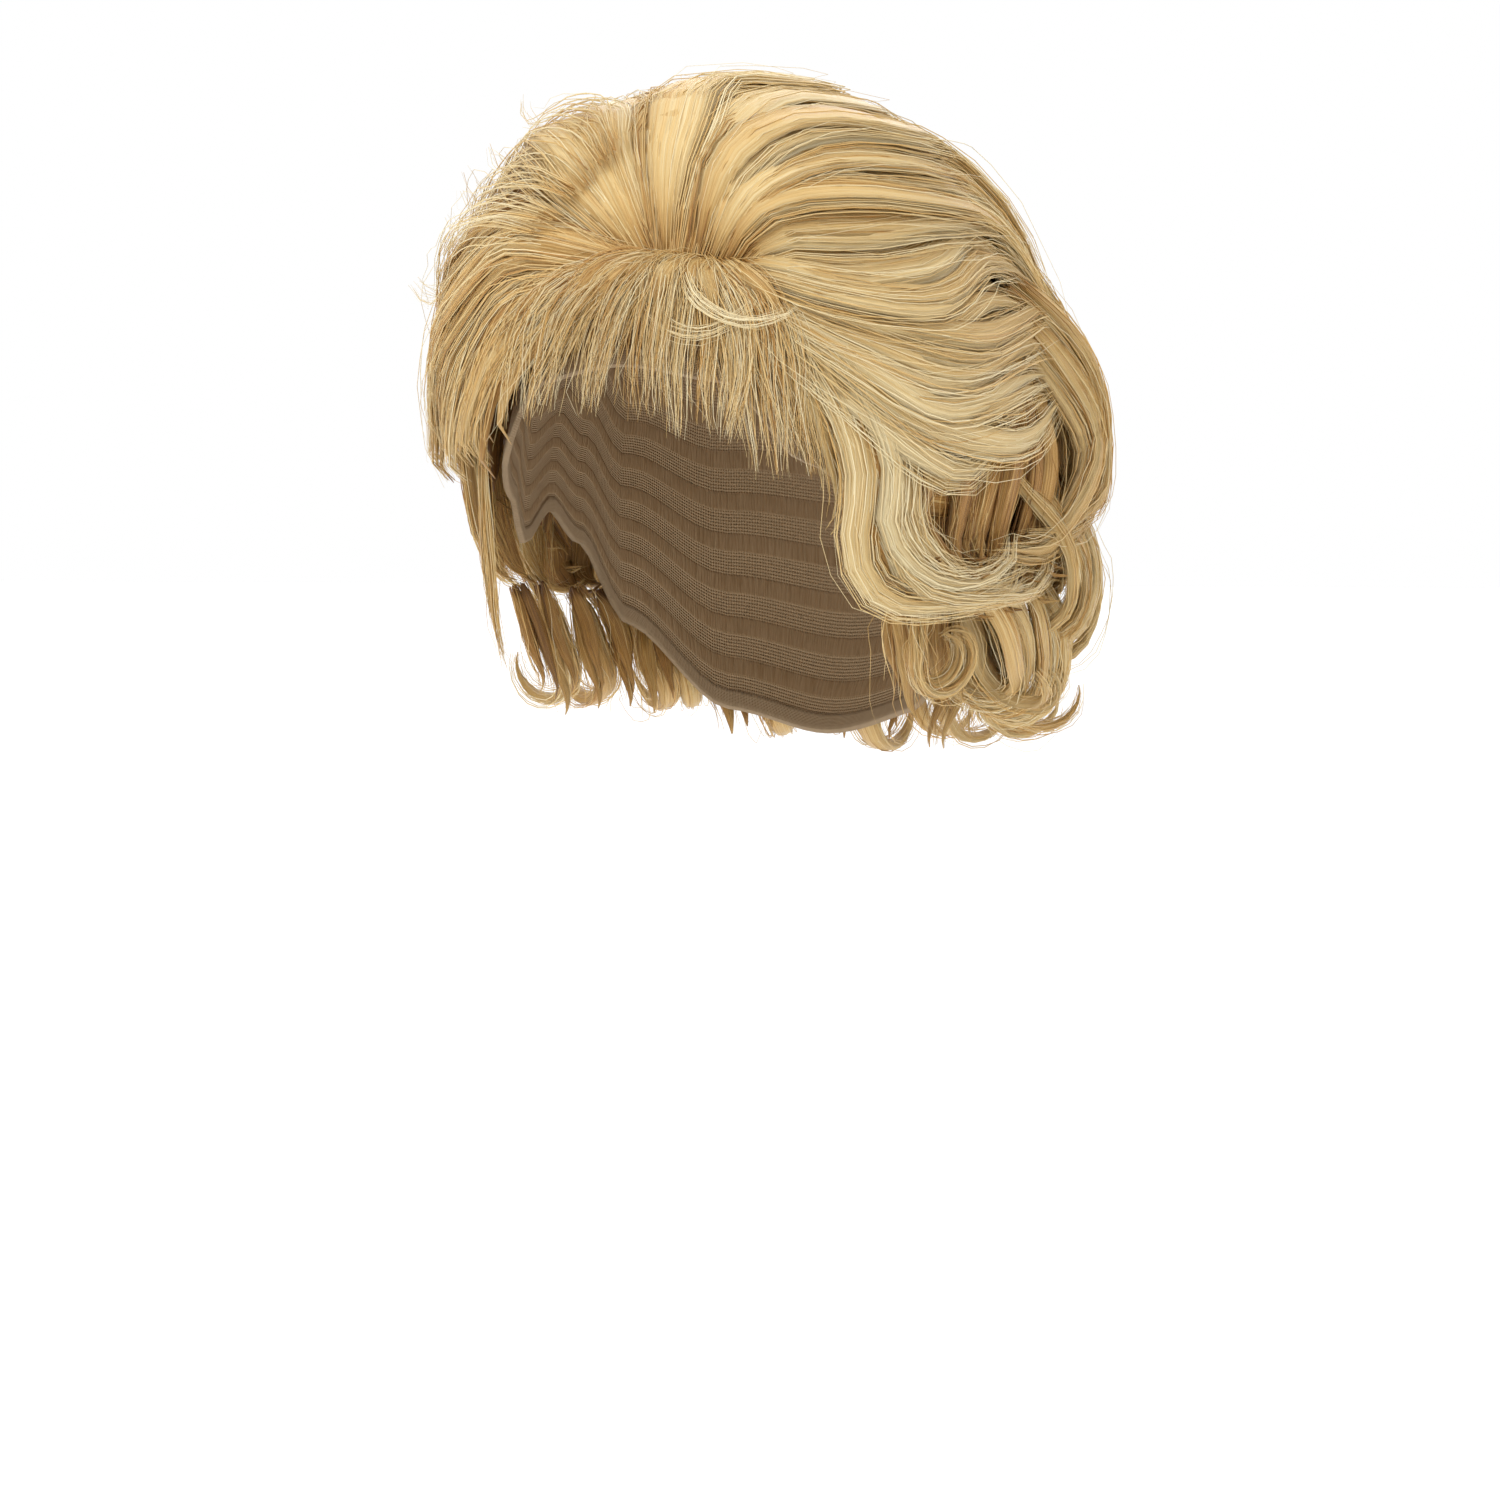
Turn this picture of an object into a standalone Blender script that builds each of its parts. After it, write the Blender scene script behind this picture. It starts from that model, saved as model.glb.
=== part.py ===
"""A short wavy blonde wig: an open cap over which six sections of hair lie.

Metres, +Z up, face towards -Y, the wearer's left at +X.
The origin is inside the top of the cap, where the top of a head touches it.
A place is an azimuth (0 in front, 90 at the wearer's left), an elevation seen
from the middle of the head, and a lift: 0 on the cap, 1 at the full hair.
"""
import random
from collections import namedtuple
from math import ceil, cos, degrees, exp, pi, radians, sin

import bmesh
import bpy
from mathutils import Vector

# The head that the cap is made for
HEAD_HALF_BREADTH = 0.077
HEAD_FRONT_REACH = 0.097
HEAD_BACK_REACH = 0.100
HEAD_CROWN_HEIGHT = 0.112
HEAD_LOWER_DEPTH = 0.105
HEAD_SQUARENESS = 2.25

# The cap, and the gaps that neighbours keep
CAP_WALL = 0.0014
CAP_GAP = 0.0006
SECTION_GAP = 0.0005

# How far the hair stands off the cap, straight up, to each side, and so on
CROWN_FULLNESS = 0.051
SIDE_FULLNESS = 0.036
FRONT_FULLNESS = 0.030
BACK_FULLNESS = 0.050
NAPE_FULLNESS = 0.034

# One lock of hair at its widest, and the curl at its end
LOCK_WIDTH = 0.030
LOCK_THICKNESS = 0.012
CURL_RADIUS = 0.016
LOCK_VARIATION = 0.12
SEED = 11

# A lock's width along its length, as shares
TaperStop = namedtuple("TaperStop", "along width")
LOCK_TAPER = (
    TaperStop(0.00, 0.60),
    TaperStop(0.25, 1.00),
    TaperStop(0.70, 0.90),
    TaperStop(1.00, 0.22),
)
LOCK_SIDES = 6
LOCK_STEP = 0.034
CURL_STEP = 58

# The cap's rim: azimuth and elevation on the wearer's left, mirrored to the right
RimPoint = namedtuple("RimPoint", "azimuth elevation")
CAP_RIM = (
    RimPoint(0, 34),
    RimPoint(25, 31),
    RimPoint(45, 15),
    RimPoint(62, 8),
    RimPoint(72, -4),
    RimPoint(88, 5),
    RimPoint(104, -4),
    RimPoint(122, -24),
    RimPoint(150, -41),
    RimPoint(180, -46),
)
CAP_AROUND = 32
CAP_DOWN = 8

# Where the crown's hair meets the rest, all the way round: it runs through the parting
CROWN_LINE = (
    RimPoint(-180, 48),
    RimPoint(-130, 46),
    RimPoint(-95, 43),
    RimPoint(-62, 45),
    RimPoint(-40, 53),
    RimPoint(-12, 51),
    RimPoint(28, 49),
    RimPoint(57, 48),
    RimPoint(80, 50),
    RimPoint(112, 54),
    RimPoint(145, 50),
    RimPoint(180, 48),
)

# The sides of the sections below it: an azimuth for each elevation
EdgePoint = namedtuple("EdgePoint", "elevation azimuth")
FRINGE_LEFT_EDGE = (
    EdgePoint(-75, 50),
    EdgePoint(8, 50),
    EdgePoint(34, 40),
    EdgePoint(50, 29),
    EdgePoint(90, 29),
)
FRINGE_RIGHT_EDGE = (
    EdgePoint(-75, -32),
    EdgePoint(6, -32),
    EdgePoint(20, -24),
    EdgePoint(50, -9),
    EdgePoint(90, -9),
)
LEFT_BACK_EDGE = (EdgePoint(-75, 97), EdgePoint(90, 97))
RIGHT_BACK_EDGE = (EdgePoint(-75, -97), EdgePoint(90, -97))
NAPE_LINE = (RimPoint(-180, -18), RimPoint(180, -18))
LOWEST_LINE = (RimPoint(-180, -72), RimPoint(180, -72))
NAPE_LEFT_EDGE = (EdgePoint(-75, 62), EdgePoint(90, 62))
NAPE_RIGHT_EDGE = (EdgePoint(-75, -86), EdgePoint(90, -86))

# The shape's centre, at the height of the eyes
CENTRE = Vector((0, 0, -HEAD_CROWN_HEIGHT))

# A family of locks lies between its first and its last guide. A guide's points are
# azimuth, elevation and lift. Widths, thicknesses and curls are shares of the named
# sizes; turn is how far an end curls, and lean the way: 0 out, 180 under, 90 to one side.
Family = namedtuple("Family", "name count width thickness curl turn lean first last")

CROWN_LOCKS = (
    Family("right", 5, 1.25, 1.3, 0, 0, 0,
           ((-2, 52, 0.38), (-22, 57, 0.88), (-50, 60, 1.08), (-85, 56, 1.00), (-108, 48, 0.92)),
           ((1, 53, 0.38), (-5, 67, 0.94), (-30, 81, 1.00), (-158, 76, 0.97), (-160, 50, 0.94))),
    Family("top", 3, 1.25, 1.3, 0, 0, 0,
           ((2, 53, 0.38), (2, 68, 0.93), (0, 84, 0.98), (188, 76, 0.97), (186, 50, 0.94)),
           ((6, 53, 0.38), (17, 68, 0.92), (55, 80, 0.96), (158, 72, 0.96), (163, 50, 0.94))),
    Family("left", 5, 1.20, 1.2, 0, 0, 0,
           ((9, 53, 0.38), (24, 66, 0.92), (62, 77, 0.96), (143, 69, 0.96), (150, 51, 0.94)),
           ((22, 51, 0.38), (42, 53, 0.80), (64, 56, 0.95), (96, 60, 0.98), (122, 55, 0.94))),
)
FRINGE_LOCKS = (
    Family("fringe", 9, 0.68, 0.55, 0, 0, 0,
           ((-7, 49, 0.36), (-12, 36, 0.72), (-18, 25, 0.66), (-22, 18, 0.45)),
           ((27, 47, 0.36), (39, 34, 0.75), (45, 22, 0.68), (46, 11, 0.42))),
)
LEFT_LOCKS = (
    Family("sweep", 5, 1.10, 1.2, 0, 0, 0,
           ((29, 47, 0.40), (40, 45, 0.78), (57, 43, 0.92), (77, 45, 1.00), (97, 48, 0.98)),
           ((33, 45, 0.40), (46, 34, 0.78), (60, 26, 0.90), (78, 24, 1.00), (97, 28, 1.02))),
    Family("low_sweep", 2, 0.95, 1.1, 0, 0, 0,
           ((34, 44, 0.48), (50, 35, 0.80), (62, 26, 0.88), (74, 17, 0.95), (86, 17, 1.02),
            (92, 24, 1.02)),
           ((34, 44, 0.45), (46, 33, 0.72), (57, 22, 0.82), (67, 13, 0.88), (79, 10, 0.98),
            (87, 16, 1.02))),
    Family("front", 3, 0.85, 1.0, 0, 0, 0,
           ((32, 45, 0.42), (42, 34, 0.66), (51, 24, 0.62), (55, 14, 0.55), (56, 5, 0.50), (54, -2, 0.42)),
           ((34, 44, 0.45), (45, 33, 0.75), (54, 23, 0.80), (60, 14, 0.80), (63, 5, 0.78), (65, -4, 0.74))),
    Family("flip", 2, 0.75, 1.3, 0, 0, 0,
           ((44, 30, 0.60), (52, 16, 0.74), (55, 4, 0.80), (60, -6, 0.88), (70, -11, 0.98), (82, -9, 1.05),
            (88, -3, 1.05), (86, 4, 1.00)),
           ((48, 30, 0.66), (56, 16, 0.80), (60, 6, 0.84), (65, -2, 0.90), (73, -5, 0.97), (81, -4, 1.02),
            (84, 1, 1.02), (80, 5, 0.98))),
    Family("drop", 3, 0.75, 1.1, 0, 0, 0,
           ((68, 24, 0.60), (72, 12, 0.72), (72, 2, 0.76), (68, -6, 0.72)),
           ((92, 24, 0.78), (93, 10, 0.88), (91, -2, 0.88), (87, -11, 0.84))),
)
RIGHT_LOCKS = (
    Family("front", 5, 1.00, 1.0, 0.5, 70, 180,
           ((-12, 49, 0.38), (-20, 42, 0.62), (-29, 31, 0.66), (-36, 20, 0.60), (-40, 11, 0.45)),
           ((-11, 50, 0.40), (-30, 49, 0.90), (-54, 41, 1.04), (-64, 27, 1.04), (-66, 13, 0.85))),
    Family("rear", 3, 1.15, 1.2, 0.8, 80, 180,
           ((-34, 50, 0.70), (-58, 44, 0.98), (-72, 32, 1.00), (-78, 18, 0.88), (-78, 8, 0.66)),
           ((-50, 50, 0.75), (-74, 42, 1.00), (-90, 30, 1.00), (-93, 14, 0.88), (-92, 2, 0.64))),
    Family("under", 3, 0.85, 0.8, 0.7, 60, 180,
           ((-60, 20, 0.50), (-68, 8, 0.42), (-72, -2, 0.34), (-74, -8, 0.28)),
           ((-92, 20, 0.60), (-93, 6, 0.55), (-93, -5, 0.45), (-92, -11, 0.40))),
    Family("sideburn", 1, 0.26, 0.3, 0, 0, 0,
           ((-46, 16, 0.22), (-47, 4, 0.16), (-49, -12, 0.12), (-49, -32, 0.16)),
           ((-46, 16, 0.22), (-47, 4, 0.16), (-49, -12, 0.12), (-49, -32, 0.16))),
)
BACK_LOCKS = (
    Family("over", 8, 1.50, 1.4, 1.1, 70, 180,
           ((106, 47, 0.86), (110, 34, 1.00), (114, 20, 1.02), (118, 7, 0.92)),
           ((254, 43, 0.86), (250, 30, 1.00), (246, 16, 1.00), (242, 3, 0.90))),
    Family("swing", 2, 1.00, 1.2, 0, 0, 0,
           ((108, 38, 0.95), (115, 28, 1.12), (118, 15, 1.18), (113, 5, 1.12), (103, 0, 1.02)),
           ((103, 30, 0.95), (112, 20, 1.08), (114, 10, 1.12), (109, 0, 1.06), (101, -5, 0.95))),
    Family("under", 8, 0.95, 0.9, 1.0, 240, 0,
           ((104, 10, 0.66), (106, 1, 0.58), (109, -7, 0.48)),
           ((256, 8, 0.66), (254, 0, 0.56), (251, -7, 0.46))),
)
NAPE_LOCKS = (
    Family("ear_curl", 1, 0.42, 0.6, 0.85, 300, -90,
           ((72, -20, 0.55), (68, -25, 0.62), (66, -29, 0.62)),
           ((72, -20, 0.55), (68, -25, 0.62), (66, -29, 0.62))),
    Family("ringlet", 7, 0.80, 0.9, 1.12, 240, 0,
           ((106, -20, 0.40), (111, -26, 0.36), (114, -31, 0.30)),
           ((254, -20, 0.36), (248, -26, 0.32), (244, -31, 0.26))),
    Family("end", 8, 0.85, 0.7, 0, 0, 0,
           ((79, -20, 0.26), (84, -33, 0.26), (92, -46, 0.32)),
           ((272, -20, 0.22), (268, -33, 0.22), (262, -45, 0.28))),
)

# A section has a backing over the cap, up to a lift, with its locks fused to it. It lies
# between two side edges, under the crown's line or the nape's. Its space runs on into those of the
# neighbours made before it, which are then cut away: shaped names such sides and neighbours.
Section = namedtuple("Section", "name right_edge left_edge top_line bottom_line shaped "
                     "backing_lift backing_low locks colour")
SECTIONS = (
    Section("fringe", FRINGE_RIGHT_EDGE, FRINGE_LEFT_EDGE, CROWN_LINE, LOWEST_LINE,
            {"top": ("crown_hair",)},
            0.42, 33, FRINGE_LOCKS, (0.80, 0.58, 0.28, 1)),
    Section("left_side_hair", FRINGE_LEFT_EDGE, LEFT_BACK_EDGE, CROWN_LINE, NAPE_LINE,
            {"top": ("crown_hair",), "right": ("fringe",)},
            0.70, -6, LEFT_LOCKS, (0.74, 0.52, 0.24, 1)),
    Section("right_side_hair", RIGHT_BACK_EDGE, FRINGE_RIGHT_EDGE, CROWN_LINE, NAPE_LINE,
            {"top": ("crown_hair",), "left": ("fringe",)},
            0.62, 4, RIGHT_LOCKS, (0.76, 0.55, 0.27, 1)),
    Section("back_hair", LEFT_BACK_EDGE, RIGHT_BACK_EDGE, CROWN_LINE, NAPE_LINE,
            {"top": ("crown_hair",), "right": ("left_side_hair",), "left": ("right_side_hair",)},
            0.80, -19, BACK_LOCKS, (0.66, 0.45, 0.19, 1)),
    Section("nape_hair", NAPE_LEFT_EDGE, NAPE_RIGHT_EDGE, NAPE_LINE, LOWEST_LINE,
            {"top": ("left_side_hair", "right_side_hair", "back_hair")},
            0.26, -41, NAPE_LOCKS, (0.60, 0.40, 0.17, 1)),
)
RUN_ON = 6
BACKING_SPILL = 4
CROWN_BACKING_LIFT = 0.84
CROWN_COLOUR = (0.78, 0.57, 0.28, 1)
ROOT_SPOT = (8, 50)
ROOT_SPREAD = 22
ROOT_DIP = 0.75
SPACE_REACH = 0.10
WIDEST_CELL = 15
BACKING_CELL = 15
SPACE_CELL = 12
DOME_AROUND = 24
DOME_START = 5
DOME_DOWN = 4
HAIR_ROUGHNESS = 0.38
CAP_ROUGHNESS = 0.85
CAP_COLOUR = (0.50, 0.36, 0.22, 1)
WELD = 0.000001
FLAT_ANGLE = 6


def direction(azimuth, elevation):
    """The unit vector towards a place on the head."""
    a, e = radians(azimuth), radians(elevation)
    return Vector((sin(a) * cos(e), -cos(a) * cos(e), sin(e)))


def head_radius(d):
    """How far the head reaches from its centre along a direction."""
    reach_y = HEAD_FRONT_REACH if d.y < 0 else HEAD_BACK_REACH
    reach_z = HEAD_CROWN_HEIGHT if d.z > 0 else HEAD_LOWER_DEPTH
    terms = (abs(d.x / HEAD_HALF_BREADTH), abs(d.y / reach_y), abs(d.z / reach_z))
    return sum(term ** HEAD_SQUARENESS for term in terms) ** (-1 / HEAD_SQUARENESS)


def fullness(d):
    """How deep the full hair is along a direction."""
    full_y = FRONT_FULLNESS if d.y < 0 else BACK_FULLNESS
    full_z = CROWN_FULLNESS if d.z > 0 else NAPE_FULLNESS
    return d.x ** 2 * SIDE_FULLNESS + d.y ** 2 * full_y + d.z ** 2 * full_z


def hair_radius(d, lift):
    """How far from the centre the hair lies at a lift: 0 just clear of the cap."""
    return head_radius(d) + CAP_WALL + CAP_GAP + lift * fullness(d)


def read_table(table, key, x):
    """A value between a table's rows, which are sorted by their first column."""
    for low, high in zip(table, table[1:]):
        if x <= high[0]:
            break
    share = min(max((x - low[0]) / (high[0] - low[0]), 0), 1)
    smooth = share * share * (3 - 2 * share)
    return getattr(low, key) + smooth * (getattr(high, key) - getattr(low, key))


def turned(azimuth):
    """The same azimuth between -180 and 180."""
    return (azimuth + 180) % 360 - 180


def rim_elevation(azimuth):
    """The cap's rim, the same on both sides."""
    return read_table(CAP_RIM, "elevation", abs(turned(azimuth)))


def clear_of_cap(d):
    """Where hair starts: its inner face is raised so that its flats clear the cap."""
    rise = 1 / cos(radians(WIDEST_CELL / 2)) ** 2 - 1
    return hair_radius(d, 0) + rise * head_radius(d)


def inside_head(d):
    """Well inside the cap."""
    return head_radius(d) / 2


def gap_degrees():
    """The gap between two sections, as an angle at the side of the head."""
    return degrees(SECTION_GAP / HEAD_HALF_BREADTH)


def rooted_radius(d, lift):
    """A hair radius that is low round the spot on the parting that the hair springs from."""
    off_root = degrees(d.angle(direction(*ROOT_SPOT)))
    dip = ROOT_DIP * exp(-(off_root / ROOT_SPREAD) ** 2)
    return hair_radius(d, lift * (1 - dip))


def whole_reach(d):
    """Well past the hair."""
    return hair_radius(d, 1) + SPACE_REACH


def past_all(d):
    """Past the whole reach, for the spaces that are cut away."""
    return whole_reach(d) + SPACE_REACH / 2


def catmull_rom(a, b, c, d, t):
    """A smooth value between b and c."""
    return 0.5 * (2 * b + (c - a) * t + (2 * a - 5 * b + 4 * c - d) * t ** 2
                  + (3 * b - a - 3 * c + d) * t ** 3)


def guide_point(spots, along):
    """A point on a smooth guide, with its direction and lift eased between its spots."""
    last = len(spots) - 1
    at = min(int(along * last), last - 1)
    picks = [spots[min(max(at + step, 0), last)] for step in (-1, 0, 1, 2)]
    share = along * last - at
    d = catmull_rom(*(pick[0] for pick in picks), share).normalized()
    lift = catmull_rom(*(pick[1] for pick in picks), share)
    return CENTRE + d * hair_radius(d, lift)


def blend_guides(first, last, share, chance):
    """The spots of one lock of a family, with a little variation in each."""
    spots = []
    for one, two in zip(first, last):
        azimuth, elevation, lift = (a + share * (b - a) for a, b in zip(one, two))
        spots.append((direction(azimuth, elevation), lift * (1 + LOCK_VARIATION * (chance.random() - 0.5))))
    return spots


def lock_frames(spots, curl_radius, turn, lean):
    """Points along a lock, each with the axes of its width and its thickness."""
    probes = [guide_point(spots, i / 40) for i in range(41)]
    length = sum((b - a).length for a, b in zip(probes, probes[1:]))
    count = max(4, round(length / LOCK_STEP))
    frames = []
    for i in range(count + 1):
        along = i / count
        point = guide_point(spots, along)
        ahead = guide_point(spots, min(along + 0.01, 1)) - guide_point(spots, max(along - 0.01, 0))
        heading = ahead.normalized()
        side = heading.cross(point - CENTRE).normalized()
        out = side.cross(heading)
        curl_way = out * cos(radians(lean)) + side * sin(radians(lean))
        roll = radians((lean + 90) % 180 - 90) * along ** 2
        frames.append((point, side * cos(roll) - out * sin(roll), heading))
    if turn and curl_radius:
        point, width_axis, heading = frames[-1]
        arcs = max(2, round(turn / CURL_STEP))
        for i in range(1, arcs + 1):
            angle = radians(turn) * i / arcs
            place = point + curl_way * curl_radius * (1 - cos(angle)) + heading * curl_radius * sin(angle)
            ahead = heading * cos(angle) + curl_way * sin(angle)
            frames.append((place, width_axis, ahead))
    return frames


def new_object(name, bm, collection):
    """An object made from a bmesh whose faces are first made flat and turned outwards."""
    mesh = bpy.data.meshes.new(name)
    bmesh.ops.triangulate(bm, faces=bm.faces)
    bmesh.ops.recalc_face_normals(bm, faces=bm.faces)
    if bm.calc_volume(signed=True) < 0:
        bmesh.ops.reverse_faces(bm, faces=bm.faces)
    bm.to_mesh(mesh)
    bm.free()
    thing = bpy.data.objects.new(name, mesh)
    collection.objects.link(thing)
    return thing


def paint(thing, colour, roughness):
    """A Principled material for one piece."""
    material = bpy.data.materials.new(thing.name)
    material.use_nodes = True
    shader = material.node_tree.nodes["Principled BSDF"]
    shader.inputs["Base Color"].default_value = colour
    shader.inputs["Roughness"].default_value = roughness
    shader.inputs["Metallic"].default_value = 0
    material.diffuse_color = colour
    thing.data.materials.clear()
    thing.data.materials.append(material)


def hide_guide(thing):
    """A shape that only serves to build another."""
    thing.hide_render = True
    thing.display_type = "WIRE"


def lock_mesh(name, family, share, chance, collection):
    """One lock: a flat tapered loft along its guide, with its curl at the end."""
    spots = blend_guides(family.first, family.last, share, chance)
    size = 1 + LOCK_VARIATION * (chance.random() - 0.5)
    frames = lock_frames(spots, family.curl * CURL_RADIUS, family.turn, family.lean)
    half_width = family.width * LOCK_WIDTH * size / 2
    half_thickness = family.thickness * LOCK_THICKNESS * size / 2
    bm = bmesh.new()
    rings = []
    for i, (point, width_axis, heading) in enumerate(frames):
        share_along = i / (len(frames) - 1)
        taper = read_table(LOCK_TAPER, "width", share_along)
        thickness_axis = width_axis.cross(heading)
        ring = []
        for k in range(LOCK_SIDES):
            angle = 2 * pi * k / LOCK_SIDES
            across = width_axis * cos(angle) * half_width * taper
            deep = thickness_axis * sin(angle) * half_thickness * taper
            ring.append(bm.verts.new(point + across + deep))
        rings.append(ring)
    for one, two in zip(rings, rings[1:]):
        for k in range(LOCK_SIDES):
            after = (k + 1) % LOCK_SIDES
            bm.faces.new((one[k], one[after], two[after], two[k]))
    bm.faces.new(rings[0])
    bm.faces.new(rings[-1])
    return new_object(name, bm, collection)


def bent_block(name, columns, rows, place, collection):
    """A closed block bent over the head: place(across, up, layer) gives each corner."""
    bm = bmesh.new()
    bmesh.ops.create_grid(bm, x_segments=columns, y_segments=rows, size=0.5)
    spots = {vert: (vert.co.x + 0.5, vert.co.y + 0.5, 0) for vert in bm.verts}
    grown = bmesh.ops.extrude_face_region(bm, geom=list(bm.faces), use_keep_orig=True)
    for item in grown["geom"]:
        if isinstance(item, bmesh.types.BMVert):
            spots[item] = (item.co.x + 0.5, item.co.y + 0.5, 1)
    for vert, spot in spots.items():
        vert.co = place(*spot)
    return new_object(name, bm, collection)


def section_block(name, section, low, margins, floor, reach, cell, collection):
    """A section's space, from its floor to its reach, which are functions of the direction."""
    right = read_table(section.right_edge, "azimuth", 0)
    span = (read_table(section.left_edge, "azimuth", 0) - right) % 360

    def place(across, up, layer):
        """One corner, from its shares across and up."""
        azimuth = right + across * span
        for _ in range(4):
            top = read_table(section.top_line, "elevation", turned(azimuth)) + margins["top"]
            bottom = low(turned(azimuth)) - margins["bottom"]
            elevation = bottom + up * (top - bottom)
            start = read_table(section.right_edge, "azimuth", elevation)
            width = (read_table(section.left_edge, "azimuth", elevation) - start) % 360
            azimuth = start - margins["right"] + across * (width + margins["right"] + margins["left"])
        d = direction(azimuth, elevation)
        return CENTRE + d * (reach(d) if layer else floor(d))

    height = read_table(section.top_line, "elevation", turned(right)) - low(right)
    return bent_block(name, ceil(span / cell), ceil(height / cell), place, collection)


def dome(name, margin, floor, reach, collection):
    """The space above the line round the crown, from its floor to its reach."""
    bm = bmesh.new()
    tops, layers = [], []
    for radius in (floor, reach):
        rings = []
        for row in range(1, DOME_DOWN + 1):
            ring = []
            for k in range(DOME_AROUND):
                azimuth = DOME_START + 360 * k / DOME_AROUND
                low = read_table(CROWN_LINE, "elevation", turned(azimuth)) - margin
                d = direction(azimuth, 90 - row / DOME_DOWN * (90 - low))
                ring.append(bm.verts.new(CENTRE + d * radius(d)))
            rings.append(ring)
        up = direction(0, 90)
        tops.append(bm.verts.new(CENTRE + up * radius(up)))
        layers.append(rings)
    for k in range(DOME_AROUND):
        after = (k + 1) % DOME_AROUND
        for top, rings in zip(tops, layers):
            bm.faces.new((top, rings[0][k], rings[0][after]))
            for one, two in zip(rings, rings[1:]):
                bm.faces.new((one[k], two[k], two[after], one[after]))
        inner, outer = layers[0][-1], layers[1][-1]
        bm.faces.new((inner[k], outer[k], outer[after], inner[after]))
    return new_object(name, bm, collection)


def add_boolean(thing, operation, operand=None, group=None):
    """An exact Boolean with one object or with every object of a collection."""
    modifier = thing.modifiers.new(operation.title(), "BOOLEAN")
    modifier.operation = operation
    modifier.solver = "EXACT"
    modifier.use_self = operation == "INTERSECT"
    if group:
        modifier.operand_type = "COLLECTION"
        modifier.collection = group
    else:
        modifier.object = operand


def largest_body(bm):
    """Keep the section's body and drop the loose tips that its edges cut off."""
    left = set(bm.verts)
    bodies = []
    while left:
        body = {left.pop()}
        front = list(body)
        while front:
            for edge in front.pop().link_edges:
                for vert in edge.verts:
                    if vert in left:
                        left.remove(vert)
                        body.add(vert)
                        front.append(vert)
        bodies.append(body)
    bodies.sort(key=len)
    for body in bodies[:-1]:
        bmesh.ops.delete(bm, geom=list(body), context="VERTS")


def fuse(name, backing, locks, space, colour, collection):
    """The backing and its locks as one body inside the section's space."""
    add_boolean(backing, "UNION", group=locks)
    add_boolean(backing, "INTERSECT", operand=space)
    shape = backing.evaluated_get(bpy.context.evaluated_depsgraph_get())
    bm = bmesh.new()
    bm.from_mesh(bpy.data.meshes.new_from_object(shape))
    bmesh.ops.dissolve_limit(bm, angle_limit=radians(FLAT_ANGLE), verts=bm.verts, edges=bm.edges)
    bmesh.ops.triangulate(bm, faces=bm.faces)
    bmesh.ops.dissolve_degenerate(bm, edges=bm.edges, dist=WELD)
    bmesh.ops.split_edges(bm, edges=[edge for edge in bm.edges if len(edge.link_faces) > 2])
    bmesh.ops.delete(bm, geom=[edge for edge in bm.edges if not edge.link_faces], context="EDGES")
    largest_body(bm)
    bpy.data.objects.remove(backing)
    hair = new_object(name, bm, collection)
    paint(hair, colour, HAIR_ROUGHNESS)
    return hair


def make_locks(name, families, collection):
    """Every lock of a section, family by family, in a collection of its own."""
    locks = bpy.data.collections.new(name + "_locks")
    collection.children.link(locks)
    chance = random.Random(SEED)
    for family in families:
        for i in range(family.count):
            share = i / (family.count - 1) if family.count > 1 else 0
            lock_mesh(f"{name}_{family.name}_{i}", family, share, chance, locks)
    return locks


def make_cap(collection):
    """The open cap: an open surface on the head, with its wall outside it."""
    bm = bmesh.new()
    top = bm.verts.new(CENTRE + direction(0, 90) * head_radius(direction(0, 90)))
    rings = []
    for row in range(1, CAP_DOWN + 1):
        ring = []
        for k in range(CAP_AROUND):
            azimuth = 360 * k / CAP_AROUND
            d = direction(azimuth, 90 - row / CAP_DOWN * (90 - rim_elevation(azimuth)))
            ring.append(bm.verts.new(CENTRE + d * head_radius(d)))
        rings.append(ring)
    for k in range(CAP_AROUND):
        after = (k + 1) % CAP_AROUND
        bm.faces.new((top, rings[0][k], rings[0][after]))
        for one, two in zip(rings, rings[1:]):
            bm.faces.new((one[k], two[k], two[after], one[after]))
    cap = new_object("cap", bm, collection)
    wall = cap.modifiers.new("Wall", "SOLIDIFY")
    wall.thickness = CAP_WALL
    wall.offset = 1
    cap.data.shade_smooth()
    paint(cap, CAP_COLOUR, CAP_ROUGHNESS)
    return cap


def make_crown(collection, guides):
    """The crown's hair, above the line that runs through the parting."""
    backing = dome("crown_backing", BACKING_SPILL, inside_head,
                   lambda d: rooted_radius(d, CROWN_BACKING_LIFT), guides)
    space = dome("crown_space", 0, clear_of_cap, whole_reach, guides)
    locks = make_locks("crown_hair", CROWN_LOCKS, guides)
    fuse("crown_hair", backing, locks, space, CROWN_COLOUR, collection)
    return dome("crown_taken", gap_degrees(), inside_head, past_all, guides)


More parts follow.
